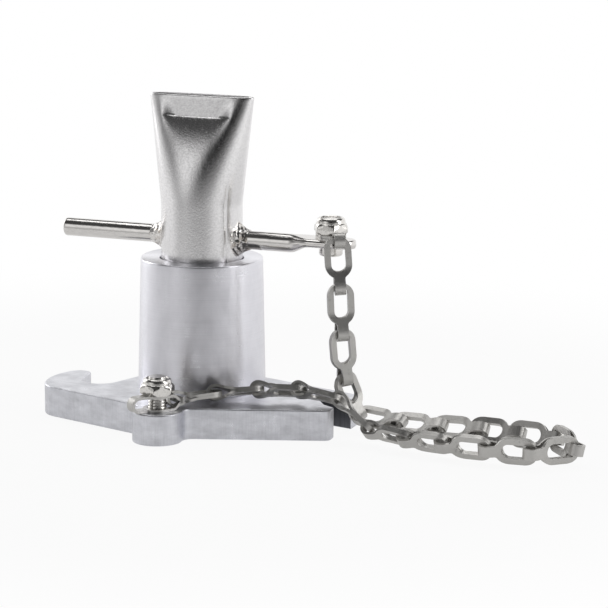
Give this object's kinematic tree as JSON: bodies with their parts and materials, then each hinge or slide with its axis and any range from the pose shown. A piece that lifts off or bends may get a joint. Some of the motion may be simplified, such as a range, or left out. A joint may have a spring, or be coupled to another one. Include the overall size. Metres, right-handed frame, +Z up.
{
  "type": "claw plate with socketed pressed-tube key",
  "caption": "Thick claw plate with a hook, split jaws and a turned socket; a pressed-tube key with a T-bar stands in the socket, tethered by a folded-link chain.",
  "frame": {"origin": "on the socket's axis at the plate's flat underside", "axes": "+Z up along the socket and key, +X along the plate from its hook to its jaws, +Y to the plate's straight back edge"},
  "size_m": [0.1812, 0.081, 0.106],
  "materials": {
    "cast_aluminium": "satin, brushed edges",
    "turned_aluminium": "satin, turned",
    "stainless": "polished stainless",
    "stainless_rod": "drawn stainless",
    "weld": "as welded",
    "fastener": "bright stainless",
    "chain_steel": "bright folded strip",
    "nylon": "natural nylon",
    "seal": "nitrile rubber"
  },
  "bodies": {
    "plate": {"claw_plate": "cast_aluminium", "barrel": "turned_aluminium", "seal_ring": "seal", "ear_screw": "fastener", "ear_nut": "fastener", "ear_nut_insert": "nylon", "chain_link_06": "chain_steel", "chain_link_07": "chain_steel", "chain_link_08": "chain_steel", "chain_link_09": "chain_steel", "chain_link_10": "chain_steel", "chain_link_11": "chain_steel", "chain_link_12": "chain_steel", "chain_link_13": "chain_steel", "chain_link_14": "chain_steel", "chain_link_15": "chain_steel", "chain_link_16": "chain_steel", "chain_link_17": "chain_steel", "chain_link_18": "chain_steel", "chain_link_19": "chain_steel", "chain_link_20": "chain_steel", "chain_link_21": "chain_steel", "chain_link_22": "chain_steel"},
    "key": {"key_tube": "stainless", "t_bar": "stainless_rod", "weld_left": "weld", "weld_right": "weld", "bar_bolt": "fastener", "bar_nut": "fastener", "bar_nut_insert": "nylon", "chain_link_01": "chain_steel"},
    "link_2": {"chain_link_02": "chain_steel"},
    "link_3": {"chain_link_03": "chain_steel"},
    "link_4": {"chain_link_04": "chain_steel"},
    "link_5": {"chain_link_05": "chain_steel"}
  },
  "joints": [
    {"name": "key_lift", "type": "slide", "parent": "plate", "child": "key", "axis": [0, 0, 1], "range_m": [0, 0.048]},
    {"name": "link_2_swing", "type": "hinge", "parent": "key", "child": "link_2", "pos_m": [0.0502, 0.0072, 0.063], "axis": [-0.7202, -0.6902, -0.07], "range_deg": [0, 3]},
    {"name": "link_3_swing", "type": "hinge", "parent": "link_2", "child": "link_3", "pos_m": [0.0512, 0.0077, 0.0481], "axis": [-0.5995, -0.7994, -0.04], "range_deg": [0, 3]},
    {"name": "link_4_swing", "type": "hinge", "parent": "link_3", "child": "link_4", "pos_m": [0.0518, 0.0079, 0.0334], "axis": [-0.4414, -0.8928, -0.0903], "range_deg": [0, 3]},
    {"name": "link_5_swing", "type": "hinge", "parent": "link_4", "child": "link_5", "pos_m": [0.0529, 0.0091, 0.0165], "axis": [-0.9872, 0.1595, 0], "range_deg": [0, 20]}
  ],
  "couplings": [
    {"joint": "link_2_swing", "follows": "key_lift", "rad_per_m": 1.0908},
    {"joint": "link_3_swing", "follows": "key_lift", "rad_per_m": 1.0908},
    {"joint": "link_4_swing", "follows": "key_lift", "rad_per_m": 1.0908},
    {"joint": "link_5_swing", "follows": "key_lift", "rad_per_m": 7.2722}
  ]
}
